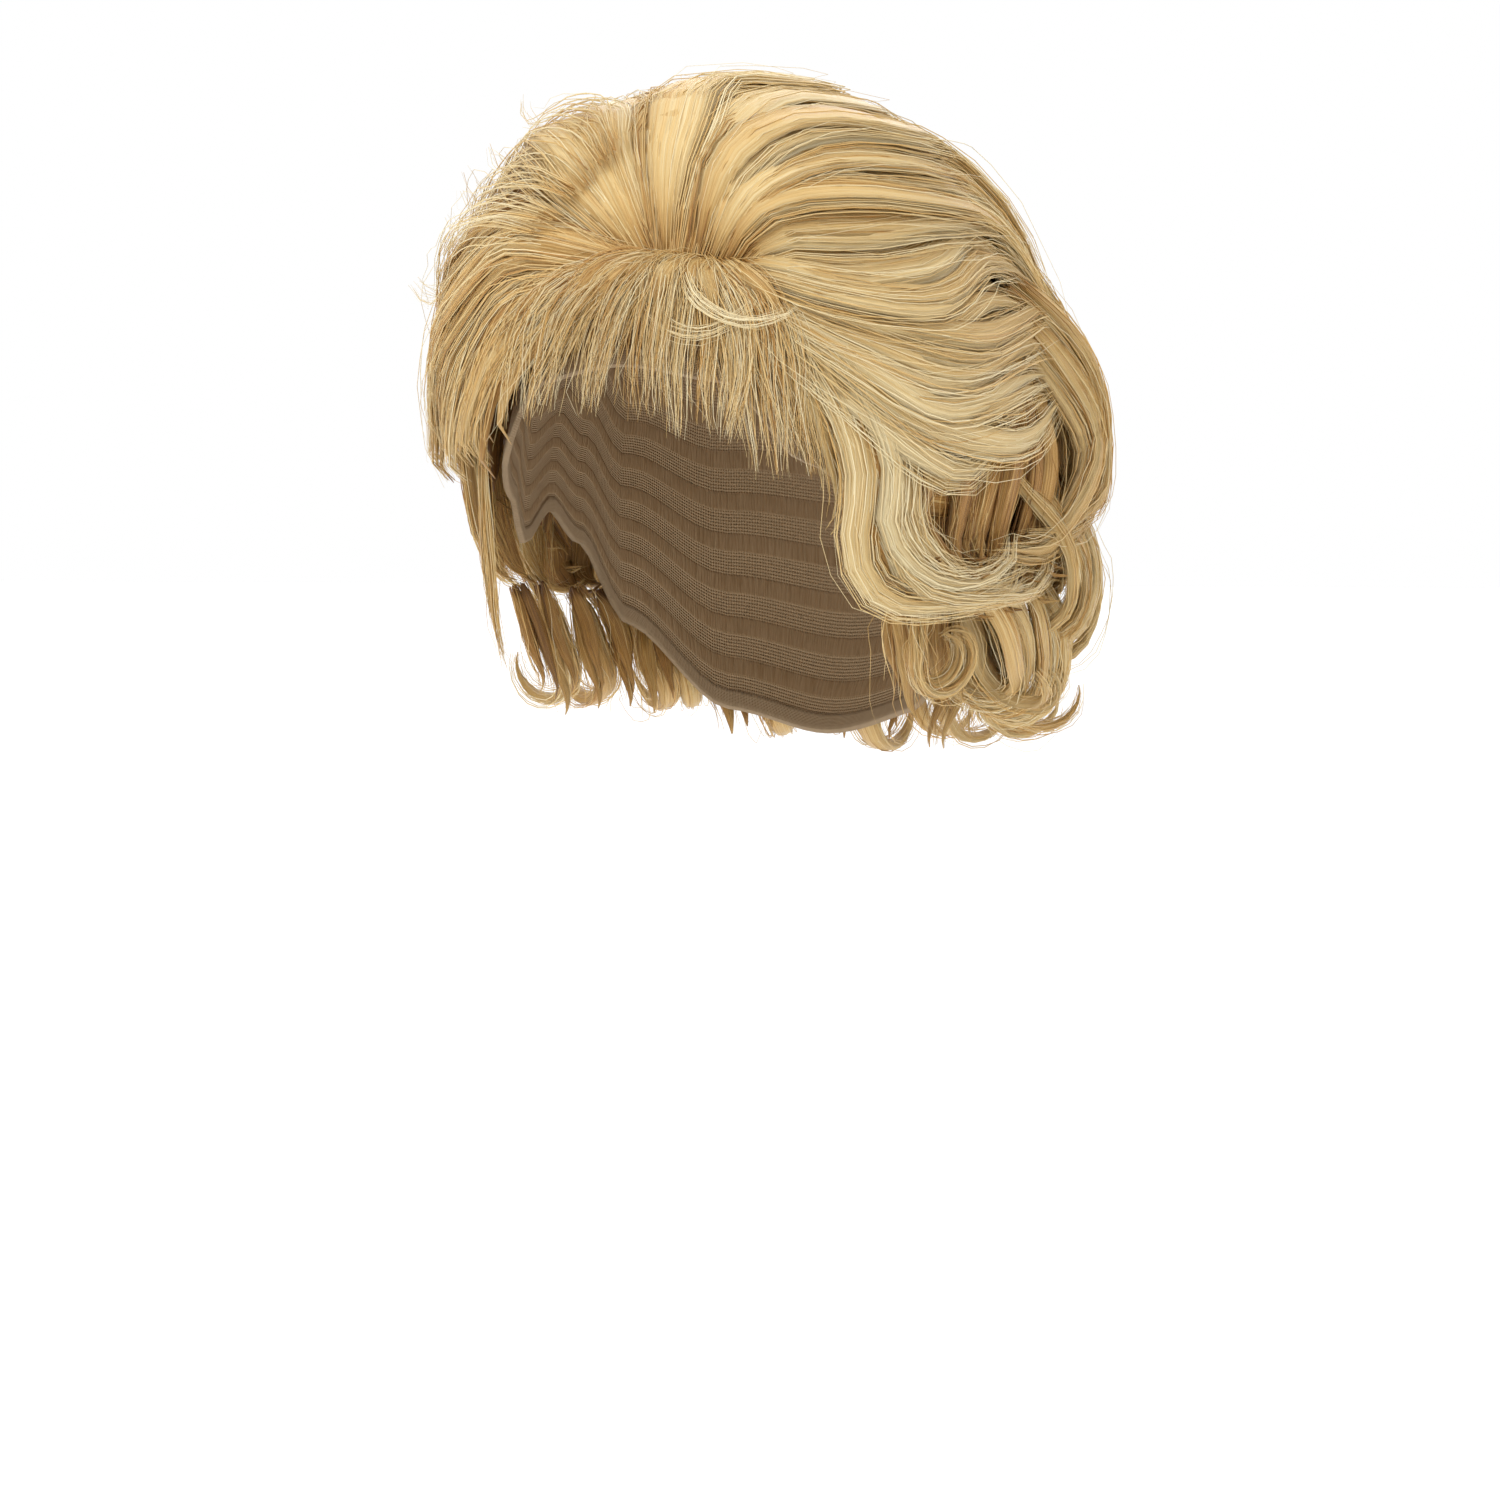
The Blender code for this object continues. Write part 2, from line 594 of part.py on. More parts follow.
def make_section(section, collection, guides, taken):
    """One of the sections below the crown, and the space that it takes from the next ones."""
    margins = {side: RUN_ON if side in section.shaped else 0 for side in ("top", "bottom", "right", "left")}

    def backing_bottom(azimuth):
        """Where the section's backing ends."""
        return section.backing_low

    def bottom(azimuth):
        """The section's lower border."""
        return read_table(section.bottom_line, "elevation", azimuth)

    def backing_reach(d):
        """The backing's outer face."""
        return rooted_radius(d, section.backing_lift)

    spilled = {side: margin + BACKING_SPILL for side, margin in margins.items()}
    spilled["bottom"] = 0
    backing = section_block(section.name + "_backing", section, backing_bottom, spilled,
                            inside_head, backing_reach, BACKING_CELL, guides)
    space = section_block(section.name + "_space", section, bottom, margins,
                          clear_of_cap, whole_reach, SPACE_CELL, guides)
    for neighbours in section.shaped.values():
        for neighbour in neighbours:
            add_boolean(space, "DIFFERENCE", operand=taken[neighbour])
    locks = make_locks(section.name, section.locks, guides)
    fuse(section.name, backing, locks, space, section.colour, collection)
    grown = {side: margin + gap_degrees() for side, margin in margins.items()}
    return section_block(section.name + "_taken", section, bottom, grown,
                         inside_head, past_all, SPACE_CELL, guides)


def main():
    """Build the wig."""
    for thing in list(bpy.data.objects):
        bpy.data.objects.remove(thing)
    wig = bpy.data.collections.new("short_wavy_wig")
    guides = bpy.data.collections.new("guides")
    bpy.context.scene.collection.children.link(wig)
    bpy.context.scene.collection.children.link(guides)
    make_cap(wig)
    taken = {"crown_hair": make_crown(wig, guides)}
    for section in SECTIONS:
        taken[section.name] = make_section(section, wig, guides, taken)
    for thing in guides.all_objects:
        hide_guide(thing)


main()
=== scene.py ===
# Looks of the short wavy blonde wig: strands and locks of hair over an open cap.
import random
from math import cos, pi, radians, sin

import bmesh
import bpy
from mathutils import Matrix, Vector


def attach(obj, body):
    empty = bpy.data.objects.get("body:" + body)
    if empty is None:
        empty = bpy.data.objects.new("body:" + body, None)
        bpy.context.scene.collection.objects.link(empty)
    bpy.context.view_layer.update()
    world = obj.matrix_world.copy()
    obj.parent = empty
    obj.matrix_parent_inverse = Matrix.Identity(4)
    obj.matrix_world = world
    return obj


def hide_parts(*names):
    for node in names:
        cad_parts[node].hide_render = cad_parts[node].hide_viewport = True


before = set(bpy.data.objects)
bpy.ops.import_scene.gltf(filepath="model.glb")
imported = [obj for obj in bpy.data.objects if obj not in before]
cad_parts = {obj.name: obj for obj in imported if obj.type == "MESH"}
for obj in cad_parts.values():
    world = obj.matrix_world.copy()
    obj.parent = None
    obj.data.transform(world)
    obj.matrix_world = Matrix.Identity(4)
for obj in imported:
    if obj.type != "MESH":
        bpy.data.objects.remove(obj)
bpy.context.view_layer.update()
millimetre = 0.001

# the head form that the cap and the hair lie on, in metres
headForm = {
    "halfBreadth": 0.077,
    "frontReach": 0.097,
    "backReach": 0.100,
    "crownHeight": 0.112,
    "lowerDepth": 0.105,
    "squareness": 2.25,
    "hairStart": 0.002,
    "crownFullness": 0.051,
    "sideFullness": 0.036,
    "frontFullness": 0.030,
    "backFullness": 0.050,
    "napeFullness": 0.034,
}
eyeLevel = Vector((0, 0, -headForm["crownHeight"]))


def towards(azimuth, elevation):
    a, e = radians(azimuth), radians(elevation)
    return Vector((sin(a) * cos(e), -cos(a) * cos(e), sin(e)))


def headRadius(way):
    reachY = headForm["frontReach"] if way.y < 0 else headForm["backReach"]
    reachZ = headForm["crownHeight"] if way.z > 0 else headForm["lowerDepth"]
    power = headForm["squareness"]
    shares = (way.x / headForm["halfBreadth"], way.y / reachY, way.z / reachZ)
    return sum(abs(share) ** power for share in shares) ** (-1 / power)


def fullness(way):
    fullY = headForm["frontFullness"] if way.y < 0 else headForm["backFullness"]
    fullZ = headForm["crownFullness"] if way.z > 0 else headForm["napeFullness"]
    return way.x ** 2 * headForm["sideFullness"] + way.y ** 2 * fullY + way.z ** 2 * fullZ


def place(azimuth, elevation, lift):
    way = towards(azimuth, elevation)
    return eyeLevel + way * (headRadius(way) + headForm["hairStart"] + lift * fullness(way))


# guides: smooth paths through places on the head, with a curl at the end
def smoothBetween(a, b, c, d, t):
    return 0.5 * (2 * b + (c - a) * t + (2 * a - 5 * b + 4 * c - d) * t ** 2
                  + (3 * b - a - 3 * c + d) * t ** 3)


def alongSpots(spots, along):
    last = len(spots) - 1
    at = min(int(along * last), last - 1)
    near = [spots[min(max(at + step, 0), last)] for step in (-1, 0, 1, 2)]
    return place(*(smoothBetween(*values, along * last - at) for values in zip(*near)))


# rings along one lock: a point, the way across it, and the way out of it
def lockRings(spots, lock, rings, chance):
    probes = [alongSpots(spots, i / 60) for i in range(61)]
    travelled = [0]
    for one, two in zip(probes, probes[1:]):
        travelled.append(travelled[-1] + (two - one).length)
    length = travelled[-1]
    radius = lock["curl"] * millimetre * (1 + 0.3 * (chance.random() - 0.5))
    turn = radians(lock["turn"]) * (1 + 0.2 * (chance.random() - 0.5))
    arc = turn * radius * 0.8 if radius else 0
    curlRings = round(rings * arc / (arc + length)) if arc else 0
    pathRings = rings - curlRings
    phase = lock["phase"] + 3.2 * chance.random()
    made = []
    start = lock["rootSpread"] * chance.random()
    end = 1 - lock["endSpread"] * chance.random()
    for i in range(pathRings):
        reach = length * (start + (end - start) * i / (pathRings - 1))
        at = 0
        while at < 59 and travelled[at + 1] < reach:
            at += 1
        share = (reach - travelled[at]) / max(travelled[at + 1] - travelled[at], 1e-9)
        along = (at + share) / 60
        point = alongSpots(spots, along)
        ahead = alongSpots(spots, min(along + 0.02, 1)) - alongSpots(spots, max(along - 0.02, 0))
        heading = ahead.normalized()
        side = heading.cross(point - eyeLevel).normalized()
        out = side.cross(heading)
        bend = 2 * pi * reach / (lock["waveLength"] * millimetre) + phase
        swell = lock["wave"] * millimetre * min(1, 2.5 * i / pathRings)
        point = point + (side * sin(bend) + out * (0.5 * cos(bend))) * swell
        roll = radians((lock["lean"] + 90) % 180 - 90) * (i / (pathRings - 1)) ** 2
        made.append((point, side * cos(roll) - out * sin(roll), heading))
        curlWay = out * cos(radians(lock["lean"])) + side * sin(radians(lock["lean"]))
    point, across, heading = made[-1]
    drift = across * (lock["drift"] * millimetre * (chance.random() + 0.5))
    for i in range(curlRings):
        share = (i + 1) / curlRings
        angle = turn * (share - 0.5 / curlRings)
        ahead = heading * cos(angle) + curlWay * sin(angle)
        point = point + ahead * (radius * (1.2 - 0.5 * share) * turn / curlRings) + drift / curlRings
        made.append((point, across, heading * cos(turn * share) + curlWay * sin(turn * share)))
    return [(point, across, across.cross(ahead)) for point, across, ahead in made]


# a fan is a family of locks between its first and its last guide; sizes in mm
def fan(locks, first, last, **changes):
    row = {"locks": locks, "first": first, "last": last, "width": 22, "thick": 6, "strands": 40,
           "steps": 14, "curl": 0, "turn": 0, "lean": 0, "drift": 0, "tone": 0.6, "toneSpread": 0.5,
           "rootShare": 0.5, "tipShare": 0.35, "fray": 0.2, "frizz": 2.0, "stray": 1.25, "body": 0.82,
           "jitter": 0.16, "swing": 4.0, "wave": 2.0, "waveLength": 70, "phase": 0, "loose": 4,
           "rootSpread": 0, "endSpread": 0.12, "thin": 1, "sides": 16, "rings": 18}
    row.update(changes)
    return row


# the layer under a fan: wider and lower locks with few strands, in a darker tone that is painted shade under the
# fan
def underLayer(row, depth=0.80, **changes):
    under = dict(row)
    for guide in ("first", "last"):
        under[guide] = [(azimuth, elevation, lift * depth) for azimuth, elevation, lift in row[guide]]
    under.update({"width": row["width"] * 1.25, "strands": 4, "loose": 0, "sides": 12, "rings": 12,
                  # the tone is lowered by 0.16 as painted shade under the fan
                  "tone": row["tone"] - 0.16, "endSpread": 0.3, "body": 0.9})
    under.update(changes)
    return under


# the core below that: broad, low and dark, so that no light comes through between the locks; its dark tone is
# painted shade between the locks
def coreLayer(row):
    # tone 0.16 is painted shade, so that the core reads as the shadow between the locks
    core = underLayer(row, 0.55, locks=round(row["locks"] * 0.6), width=row["width"] * 1.9, thick=16, strands=0,
                      tone=0.16, body=1, sides=10, endSpread=0.1, curl=0)
    core["first"], core["last"] = core["first"][1:], core["last"][1:]
    return core


def widthShare(row, along):
    if along < 0.25:
        grow = along / 0.25
        return row["rootShare"] + (1 - row["rootShare"]) * grow * grow * (3 - 2 * grow)
    fade = (along - 0.25) / 0.75
    return 1 + (row["tipShare"] - 1) * fade ** 2.2


def makeLocks(row, chance):
    made = []
    for i in range(row["locks"]):
        share = i / (row["locks"] - 1) if row["locks"] > 1 else 0
        if 0 < share < 1:
            share += (chance.random() - 0.5) * 0.5 / row["locks"]
        lift = 1 + row["jitter"] * (chance.random() - 0.5)
        sway = row["swing"] * (chance.random() - 0.5)
        spots = []
        for k, (one, two) in enumerate(zip(row["first"], row["last"])):
            azimuth, elevation, height = (a + share * (b - a) for a, b in zip(one, two))
            spots.append((azimuth + sway * k, elevation + sway * (chance.random() - 0.5), height * lift))
        size = 1 + 0.3 * (chance.random() - 0.5)
        made.append((lockRings(spots, row, row["rings"], chance), size, chance.random()))
    return made


# closed lock bodies with grooves along them, and guide lines for the strands
def addBody(row, rings, size, shade, sheet, chance):
    sides = row["sides"]
    grooves = [[1 - 0.34 * chance.random() * (k % 2) for k in range(sides)] for _ in range(3)]
    start = len(sheet["verts"])
    last = len(rings) - 1
    for i, (point, across, deep) in enumerate(rings):
        along = i / last
        closing = max(1 - max(along - 0.55, 0) / 0.45, 0.04) ** 0.8 * min(1, 0.4 + along * 6)
        wide = row["width"] * millimetre / 2 * size * widthShare(row, along) * row["body"] * closing
        thick = row["thick"] * millimetre / 2 * size * row["body"] * closing
        for k in range(sides):
            angle = 2 * pi * k / sides
            blend = along * 2
            low = grooves[int(min(blend, 1.999))][k]
            high = grooves[int(min(blend, 1.999)) + 1][k]
            groove = low + (high - low) * (blend - int(min(blend, 1.999)))
            sheet["verts"].append(point + across * (cos(angle) * wide * groove)
                                  + deep * (sin(angle) * thick * groove))
    # the bodies are painted 0.08 darker than the strands over them, as painted shade inside each lock
    tone = row["tone"] - 0.08 + row["toneSpread"] * 0.35 * (shade - 0.5)
    for i in range(last):
        for k in range(sides):
            after = (k + 1) % sides
            one, two = start + i * sides, start + (i + 1) * sides
            sheet["faces"].append((one + k, two + k, two + after, one + after))
            # across each lock one side is painted lighter and the other darker: painted light and painted shade
            left, right = (tone + 0.18 * (abs(1 - 2 * at / sides) - 0.5) for at in (k, k + 1))
            low, high = i / last, (i + 1) / last
            sheet["maps"] += [(left, low), (left, high), (right, high), (right, low)]
    for ring, turned in ((0, False), (last, True)):
        corners = [start + ring * sides + k for k in range(sides)]
        sheet["faces"].append(corners[::-1] if turned else corners)
        sheet["maps"] += [(tone, ring / last)] * sides


def bodyMesh(name, sheet):
    mesh = bpy.data.meshes.new(name)
    mesh.from_pydata(sheet["verts"], [], sheet["faces"])
    flat = mesh.uv_layers.new(name="OFBake")
    flat.data.foreach_set("uv", [min(max(value, 0.01), 0.99) for pair in sheet["maps"] for value in pair])
    mesh.shade_smooth()
    thing = bpy.data.objects.new(name, mesh)
    bpy.context.scene.collection.objects.link(thing)
    return thing


guideNotes = ("tone", "toneSpread", "strands", "steps", "fray", "frizz", "stray", "thin")


def addGuide(row, rings, size, shade, sheet):
    start = len(sheet["points"])
    last = len(rings) - 1
    for i, (point, across, deep) in enumerate(rings):
        sheet["points"].append(point)
        wide = row["width"] * millimetre / 2 * size * widthShare(row, i / last)
        thick = row["thick"] * millimetre / 2 * size * (0.35 + 0.65 * widthShare(row, i / last))
        sheet["across"].append(across * wide)
        sheet["deep"].append(deep * thick)
        for note in guideNotes:
            sheet[note].append(row[note])
        sheet["tone"][-1] = row["tone"] + row["toneSpread"] * 0.35 * (shade - 0.5)
        if i:
            sheet["lines"].append((start + i - 1, start + i))


def guideMesh(name, sheet):
    mesh = bpy.data.meshes.new(name)
    mesh.from_pydata(sheet["points"], sheet["lines"], [])
    for note in ("across", "deep"):
        layer = mesh.attributes.new(note, "FLOAT_VECTOR", "POINT")
        layer.data.foreach_set("vector", [value for way in sheet[note] for value in way])
    for note in guideNotes:
        layer = mesh.attributes.new(note, "FLOAT", "POINT")
        layer.data.foreach_set("value", sheet[note])
    thing = bpy.data.objects.new(name, mesh)
    bpy.context.scene.collection.objects.link(thing)
    return thing


# one value of a node tree, for use in plain sums: each sign adds its Math node
class Value:
    def __init__(self, tree, socket):
        self.tree = tree
        self.socket = socket

    def sum(self, operation, first, second):
        return self.tree.add("ShaderNodeMath", {"operation": operation}, first, second)

    def __add__(self, other):
        return self.sum("ADD", self, other)

    def __radd__(self, other):
        return self.sum("ADD", other, self)

    def __sub__(self, other):
        return self.sum("SUBTRACT", self, other)

    def __rsub__(self, other):
        return self.sum("SUBTRACT", other, self)

    def __mul__(self, other):
        return self.sum("MULTIPLY", self, other)

    def __rmul__(self, other):
        return self.sum("MULTIPLY", other, self)

    def __pow__(self, other):
        return self.sum("POWER", self, other)


class Tree:
    def __init__(self, tree):
        self.tree = tree

    # one node: its settings first, then the values or links of its sockets, by place or by name
    def add(self, kind, settings=None, *places, out=0, **named):
        node = self.tree.nodes.new(kind)
        for setting, value in (settings or {}).items():
            if setting == "stops":
                stops = node.color_ramp.elements
                while len(stops) < len(value):
                    stops.new(0.5)
                for stop, (position, colour) in zip(stops, value):
                    stop.position = position
                    stop.color = colour
            else:
                setattr(node, setting, value)
        sockets = [socket for socket in node.inputs if socket.enabled]
        pairs = list(zip(sockets, places))
        for name, value in named.items():
            pairs.append((next(s for s in sockets if s.name.replace(" ", "") == name), value))
        for socket, value in pairs:
            if isinstance(value, Value):
                self.tree.links.new(value.socket, socket)
            elif value is not None:
                socket.default_value = value
        outs = [socket for socket in node.outputs if socket.enabled]
        picked = outs[out] if isinstance(out, int) else next(s for s in outs if s.name == out)
        return Value(self, picked)


def strandTree():
    group = bpy.data.node_groups.new("strandsOverLocks", "GeometryNodeTree")
    group.is_modifier = True
    group.interface.new_socket("Guides", in_out="INPUT", socket_type="NodeSocketGeometry")
    group.interface.new_socket("Lock Bodies", in_out="INPUT", socket_type="NodeSocketObject")
    group.interface.new_socket("Strand Width", in_out="INPUT", socket_type="NodeSocketFloat")
    group.interface.new_socket("Seed", in_out="INPUT", socket_type="NodeSocketInt")
    group.interface.new_socket("Hair", in_out="INPUT", socket_type="NodeSocketMaterial")
    group.interface.new_socket("Hair", in_out="OUTPUT", socket_type="NodeSocketGeometry")
    tree = Tree(group)
    given = {s.name: Value(tree, s) for s in group.nodes.new("NodeGroupInput").outputs if s.name}

    def note(name, kind="FLOAT"):
        return tree.add("GeometryNodeInputNamedAttribute", {"data_type": kind}, name)

    strand = tree.add("GeometryNodeCurveOfPoint", None, out="Curve Index")

    def chance(step):
        return tree.add("FunctionNodeRandomValue", None, 0.0, 1.0, ID=strand, Seed=given["Seed"] + step)

    def scaled(way, amount):
        return tree.add("ShaderNodeVectorMath", {"operation": "SCALE"}, way, Scale=amount)

    def joined(one, two):
        return tree.add("ShaderNodeVectorMath", {"operation": "ADD"}, one, two)

    line = tree.add("GeometryNodeMeshToCurve", None, given["Guides"])
    line = tree.add("GeometryNodeResampleCurve", None, line, Count=note("steps"))
    line = tree.add("GeometryNodeDuplicateElements", {"domain": "SPLINE"}, line, Amount=note("strands"))
    along = tree.add("GeometryNodeSplineParameter", None, out="Factor")
    angle = chance(1) * (2 * pi)
    off = chance(2) ** 0.5 * note("stray")
    cosine = tree.add("ShaderNodeMath", {"operation": "COSINE"}, angle)
    sine = tree.add("ShaderNodeMath", {"operation": "SINE"}, angle)
    lean = (chance(3) - 0.5) * along * along * 0.7
    across = scaled(note("across", "FLOAT_VECTOR"), off * cosine + lean)
    deep = scaled(note("deep", "FLOAT_VECTOR"), off * sine + (chance(4) - 0.5) * along)
    shift = tree.add("ShaderNodeCombineXYZ", None, chance(5) * 9.0, chance(6) * 9.0, chance(7) * 9.0)
    spot = joined(scaled(tree.add("GeometryNodeInputPosition"), 55.0), shift)
    wander = tree.add("ShaderNodeTexNoise", None, spot, Scale=1.0, Detail=1.0, out="Color")
    wander = joined(wander, (-0.5, -0.5, -0.5))
    wander = scaled(wander, note("frizz") * millimetre * 2 * (along * 0.85 + 0.15))
    line = tree.add("GeometryNodeSetPosition", None, line, Offset=joined(joined(across, deep), wander))
    loss = tree.add("FunctionNodeRandomValue", None, 0.0, 1.0, Seed=given["Seed"] + 11) ** 1.5
    line = tree.add("GeometryNodeTrimCurve", None, line, End=1 - loss * note("fray"))
    shade = note("tone") + (chance(8) - 0.5) * note("toneSpread")
    shade = tree.add("ShaderNodeClamp", None, shade, 0.02, 0.98)
    line = tree.add("GeometryNodeStoreNamedAttribute", {"data_type": "FLOAT"}, line, Name="shade", Value=shade)
    line = tree.add("GeometryNodeStoreNamedAttribute", {"data_type": "FLOAT"}, line, Name="run", Value=along)
    ring = tree.add("GeometryNodeCurvePrimitiveCircle", None, 3, Radius=1.0)
    thin = given["Strand Width"] * 0.5 * note("thin") * (chance(9) * 0.7 + 0.6) * (1 - along ** 4 * 0.7)
    hair = tree.add("GeometryNodeCurveToMesh", None, line, ring, Scale=thin, FillCaps=True)
    flat = tree.add("ShaderNodeCombineXYZ", None, note("shade"), note("run"), 0.0)
    hair = tree.add("GeometryNodeStoreNamedAttribute", {"data_type": "FLOAT2", "domain": "CORNER"},
                    hair, Name="OFBake", Value=flat)
    hair = tree.add("GeometryNodeSetShadeSmooth", None, hair)
    bodies = tree.add("GeometryNodeObjectInfo", None, given["Lock Bodies"], out="Geometry")
    both = group.nodes.new("GeometryNodeJoinGeometry")
    group.links.new(hair.socket, both.inputs[0])
    group.links.new(bodies.socket, both.inputs[0])
    made = tree.add("GeometryNodeRealizeInstances", None, Value(tree, both.outputs[0]))
    made = tree.add("GeometryNodeSetMaterial", None, made, Material=given["Hair"])
    group.links.new(made.socket, group.nodes.new("NodeGroupOutput").inputs[0])
    return group


def newMaterial(name):
    material = bpy.data.materials.new(name)
    material.use_nodes = True
    return material, Tree(material.node_tree), material.node_tree.nodes["Principled BSDF"]


blonde = {
    "rootBrown": (0.20, 0.088, 0.02, 1),
    "shadowGold": (0.46, 0.23, 0.052, 1),
    "honey": (0.67, 0.43, 0.15, 1),
    "blonde": (0.73, 0.545, 0.255, 1),
    "pale": (0.84, 0.72, 0.45, 1),
    "gloss": 0.36,
    "wideStreaks": 0.75,
    "fineStreaks": 0.80,
    "rootLength": 0.16,
    "rootDepth": 0.30,
}


def hairMaterial(name):
    material, tree, shader = newMaterial(name)
    flat = tree.add("ShaderNodeUVMap", {"uv_map": "OFBake"})
    u = tree.add("ShaderNodeSeparateXYZ", None, flat, out="X")
    v = tree.add("ShaderNodeSeparateXYZ", None, flat, out="Y")
    wide = tree.add("ShaderNodeCombineXYZ", None, u * 130, v * 1.6, 0.0)
    fine = tree.add("ShaderNodeCombineXYZ", None, u * 900, v * 3.0, 4.0)
    wideStreak = tree.add("ShaderNodeTexNoise", None, wide, Scale=1.0, Detail=2.0)
    fineStreak = tree.add("ShaderNodeTexNoise", None, fine, Scale=1.0, Detail=2.0)
    root = tree.add("ShaderNodeMapRange", {"interpolation_type": "SMOOTHSTEP"}, v,
                    0.0, blonde["rootLength"], blonde["rootDepth"], 0.0)
    tone = u + (wideStreak - 0.5) * blonde["wideStreaks"] + (fineStreak - 0.5) * blonde["fineStreaks"] - root
    # besides the darker roots and streaks, the low end of the ramp gives the painted shade of the under layers, the
    # cores and the dark sides of the locks
    stops = [(0.0, blonde["rootBrown"]), (0.22, blonde["shadowGold"]), (0.45, blonde["honey"]),
             (0.68, blonde["blonde"]), (0.95, blonde["pale"])]
    colour = tree.add("ShaderNodeValToRGB", {"stops": stops}, tone)
    bump = tree.add("ShaderNodeBump", None, Strength=0.8, Distance=0.0006, Height=fineStreak)
    material.node_tree.links.new(colour.socket, shader.inputs["Base Color"])
    material.node_tree.links.new(bump.socket, shader.inputs["Normal"])
    shader.inputs["Roughness"].default_value = blonde["gloss"]
    return material


tree = strandTree()


def dress(name, node, material, hair, seed):
    chance = random.Random(seed)
    bodies = {"verts": [], "faces": [], "maps": []}
    guides = {key: [] for key in ("points", "lines", "across", "deep") + guideNotes}
    for row in hair["fans"]:
        for rings, size, shade in makeLocks(row, chance):
            if row["body"]:
                addBody(row, rings, size, shade, bodies, chance)
            if row["strands"]:
                addGuide(row, rings, size, shade, guides)
            if row["loose"]:
                stray = dict(row, strands=row["loose"], stray=row["stray"] * 1.9, frizz=row["frizz"] * 2.6,
                             tone=row["tone"] + 0.12, thin=0.6)
                addGuide(stray, rings, size, shade, guides)
    bodyThing = bodyMesh(name + "Bodies", bodies)
    guideThing = guideMesh(name + "Guides", guides)
    strands = guideThing.modifiers.new("Strands", "NODES")
    strands.node_group = tree
    sockets = {item.name: item.identifier for item in tree.interface.items_tree if item.in_out == "INPUT"}
    strands[sockets["Lock Bodies"]] = bodyThing
    strands[sockets["Strand Width"]] = hair["strandWidth"] * millimetre
    strands[sockets["Seed"]] = seed
    strands[sockets["Hair"]] = material
    shown = guideThing.evaluated_get(bpy.context.evaluated_depsgraph_get())
    mesh = bpy.data.meshes.new_from_object(shown)
    mesh.name = name
    piece = bpy.data.objects.new(name, mesh)
    bpy.context.scene.collection.objects.link(piece)
    bpy.data.objects.remove(guideThing)
    bpy.data.objects.remove(bodyThing)
    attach(piece, "root")
    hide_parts(node)
    print("dressed", name, "with", len(mesh.loops) - 2 * len(mesh.polygons), "triangles")
    return piece


crownHair = {"strandWidth": 0.46}
crownRight = fan(
    13, [(6, 49, 0.26), (-12, 56, 0.72), (-34, 60, 0.96), (-62, 60, 1.04), (-94, 53, 1.00), (-112, 38, 0.98),
         (-118, 24, 0.99)],
    [(8, 50, 0.26), (-2, 68, 0.84), (-24, 82, 0.94), (-152, 78, 0.97), (-158, 56, 0.99), (-162, 38, 1.00),
     (-164, 22, 1.00)],
    width=28, thick=5.5, strands=44, steps=15, rootShare=0.30, tone=0.64, endSpread=0.30, wave=1.6, waveLength=105, rings=24)
crownTop = fan(
    8, [(8, 50.5, 0.26), (3, 68, 0.84), (0, 84, 0.94), (188, 76, 0.97), (184, 54, 0.99), (182, 36, 1.00),
        (181, 20, 1.00)],
    [(14, 50, 0.28), (18, 68, 0.86), (52, 80, 0.94), (156, 74, 0.97), (164, 54, 0.99), (165, 36, 1.00),
     (166, 20, 1.00)],
    width=28, thick=5.5, strands=44, steps=15, rootShare=0.30, tone=0.66, endSpread=0.30, wave=1.6, waveLength=105, rings=24)
crownLeft = fan(
    12, [(15, 49.5, 0.28), (25, 66, 0.84), (60, 76, 0.94), (140, 70, 0.97), (150, 52, 0.99), (152, 36, 1.00),
         (152, 22, 1.00)],
    [(27, 47, 0.34), (38, 48, 0.76), (56, 48, 0.93), (78, 51, 1.00), (104, 49, 1.05), (122, 37, 1.03),
     (134, 25, 1.02)],
    width=26, thick=5.5, strands=42, steps=15, rootShare=0.30, tone=0.64, endSpread=0.30, wave=1.6,
    waveLength=105, rings=24)
crownHair["fans"] = [crownRight, crownTop, crownLeft]
crownHair["fans"] += [underLayer(row) for row in (crownRight, crownTop, crownLeft)]
crownHair["fans"] += [coreLayer(row) for row in (crownRight, crownTop, crownLeft)]
crownHair["fans"].append(fan(
    9, [(-6, 62, 0.92), (-20, 68, 1.04), (-40, 68, 1.10), (-62, 62, 1.08)],
    [(-18, 46, 0.86), (-36, 46, 1.00), (-54, 42, 1.04), (-70, 33, 1.00)],
    width=13, thick=6, strands=12, steps=16, curl=10, turn=150, drift=4, body=0, tone=0.74, wave=1.5,
    frizz=3.5, loose=2, endSpread=0.3))
dress("crownHair", "crown_hair", hairMaterial("blondeCrown"), crownHair, 3)

